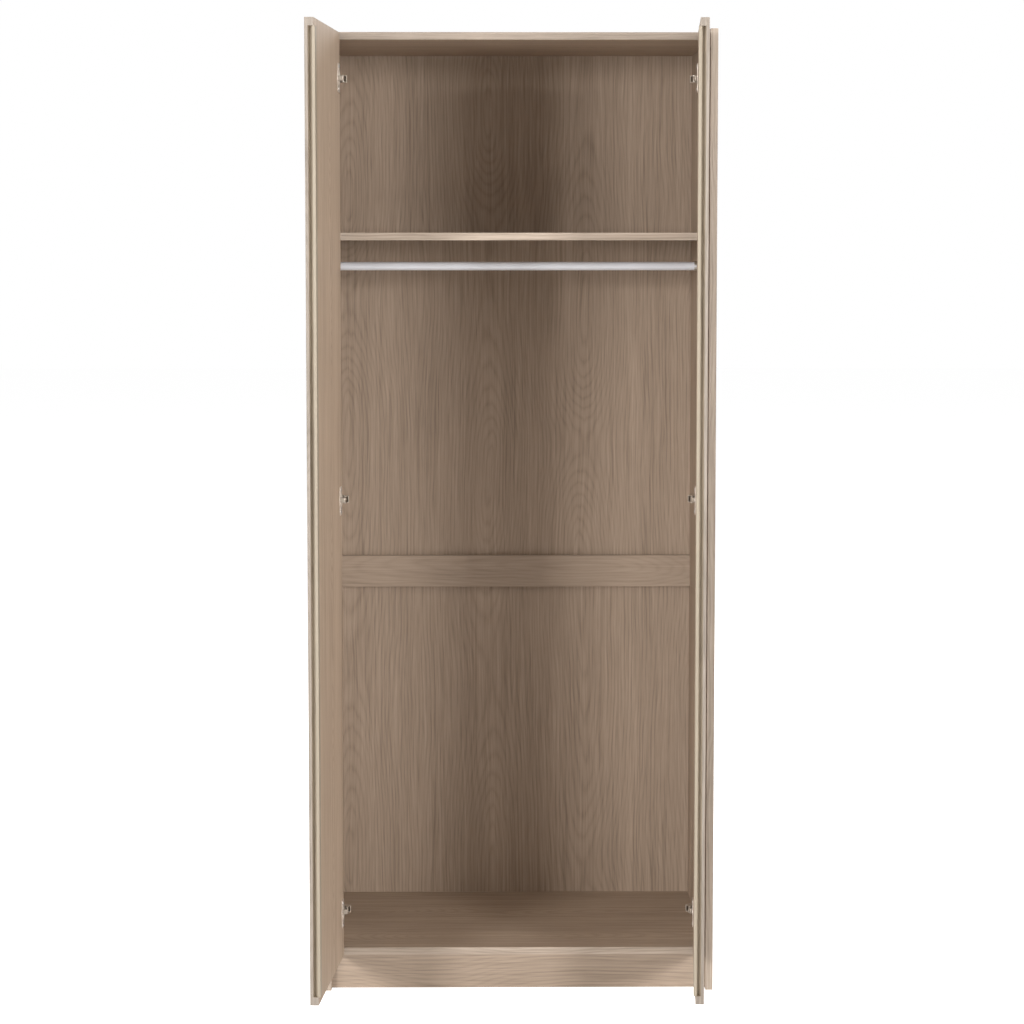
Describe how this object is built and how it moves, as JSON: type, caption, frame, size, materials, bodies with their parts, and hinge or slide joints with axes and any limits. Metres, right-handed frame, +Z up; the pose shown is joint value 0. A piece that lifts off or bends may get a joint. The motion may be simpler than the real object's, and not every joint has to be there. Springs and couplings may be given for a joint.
{
  "type": "wardrobe with doors",
  "caption": "Tall free-standing wardrobe with handle-less hinged doors set between its sides, a high shelf and a hanging rail.",
  "frame": {"origin": "on the floor, midway between the side panels, and midway between the rear edges and the free edges of the doors as they stand open", "axes": "+Z up, +Y from the doors to the back panels, +X to the right as seen from the front"},
  "size_m": [0.8606, 0.9595, 2.121],
  "materials": {
    "carcass_board": "matt grey-oak laminate on chipboard, lighter edge band",
    "back_panel": "matt grey-oak printed hardboard",
    "door": "matt grey-oak laminate on chipboard, lighter edge band",
    "grip_strip": "matt cream laminate",
    "rail": "satin",
    "rail_socket": "bright die-cast",
    "hinge_cup": "bright nickel plate",
    "hinge_arm": "bright nickel plate",
    "hinge_plate": "nickel-plated die casting",
    "hinge_lever": "nickel plate",
    "hinge_pin": "bright",
    "screw": "nickel plate",
    "nail": "bright",
    "cam": "zinc die casting",
    "cam_bolt": "zinc plate",
    "dowel": "bare beech",
    "bracket": "zinc plate"
  },
  "bodies": {
    "cabinet": {"left_side": "carcass_board", "right_side": "carcass_board", "top_panel": "carcass_board", "bottom_panel": "carcass_board", "plinth": "carcass_board", "shelf": "carcass_board", "mid_back_rail": "carcass_board", "upper_back": "back_panel", "lower_back": "back_panel", "hanging_rail": "rail", "rail_socket_left": "rail_socket", "rail_socket_right": "rail_socket", "hinge_arm_left_top": "hinge_arm", "hinge_arm_left_middle": "hinge_arm", "hinge_arm_left_bottom": "hinge_arm", "hinge_plate_left_top": "hinge_plate", "hinge_plate_left_middle": "hinge_plate", "hinge_plate_left_bottom": "hinge_plate", "hinge_arm_right_top": "hinge_arm", "hinge_arm_right_middle": "hinge_arm", "hinge_arm_right_bottom": "hinge_arm", "hinge_plate_right_top": "hinge_plate", "hinge_plate_right_middle": "hinge_plate", "hinge_plate_right_bottom": "hinge_plate", "hinge_pins": "hinge_pin", "plate_screws": "screw", "arm_screws": "screw", "rail_screws": "screw", "bracket_screws": "screw", "back_nails": "nail", "cam_locks": "cam", "cam_bolts": "cam_bolt", "dowels": "dowel", "wall_bracket": "bracket"},
    "left_door": {"left_door": "door", "left_grip_strip": "grip_strip", "cup_screws_left": "screw", "hinge_cup_left_top": "hinge_cup", "hinge_cup_left_middle": "hinge_cup", "hinge_cup_left_bottom": "hinge_cup"},
    "right_door": {"right_door": "door", "right_grip_strip": "grip_strip", "cup_screws_right": "screw", "hinge_cup_right_top": "hinge_cup", "hinge_cup_right_middle": "hinge_cup", "hinge_cup_right_bottom": "hinge_cup"},
    "left_levers": {"hinge_lever_left_top": "hinge_lever", "hinge_lever_left_middle": "hinge_lever", "hinge_lever_left_bottom": "hinge_lever"},
    "right_levers": {"hinge_lever_right_top": "hinge_lever", "hinge_lever_right_middle": "hinge_lever", "hinge_lever_right_bottom": "hinge_lever"}
  },
  "joints": [
    {"name": "left_door_hinge", "type": "hinge", "parent": "cabinet", "child": "left_door", "pos_m": [-0.4025, -0.0789, 1.0855], "axis": [0, 0, -1], "range_deg": [-94.3, 10.7]},
    {"name": "right_door_hinge", "type": "hinge", "parent": "cabinet", "child": "right_door", "pos_m": [0.4025, -0.0789, 1.0855], "axis": [0, 0, 1], "range_deg": [-86.4, 18.6]},
    {"name": "left_lever_pivot", "type": "hinge", "parent": "cabinet", "child": "left_levers", "pos_m": [-0.3772, -0.0681, 1.0855], "axis": [0, 0, -1], "range_deg": [-11, 91]},
    {"name": "right_lever_pivot", "type": "hinge", "parent": "cabinet", "child": "right_levers", "pos_m": [0.3772, -0.0681, 1.0855], "axis": [0, 0, 1], "range_deg": [-18.5, 83.5]}
  ],
  "couplings": [
    {"joint": "left_lever_pivot", "follows": "left_door_hinge", "ratio": -0.955},
    {"joint": "right_lever_pivot", "follows": "right_door_hinge", "ratio": -0.955}
  ]
}
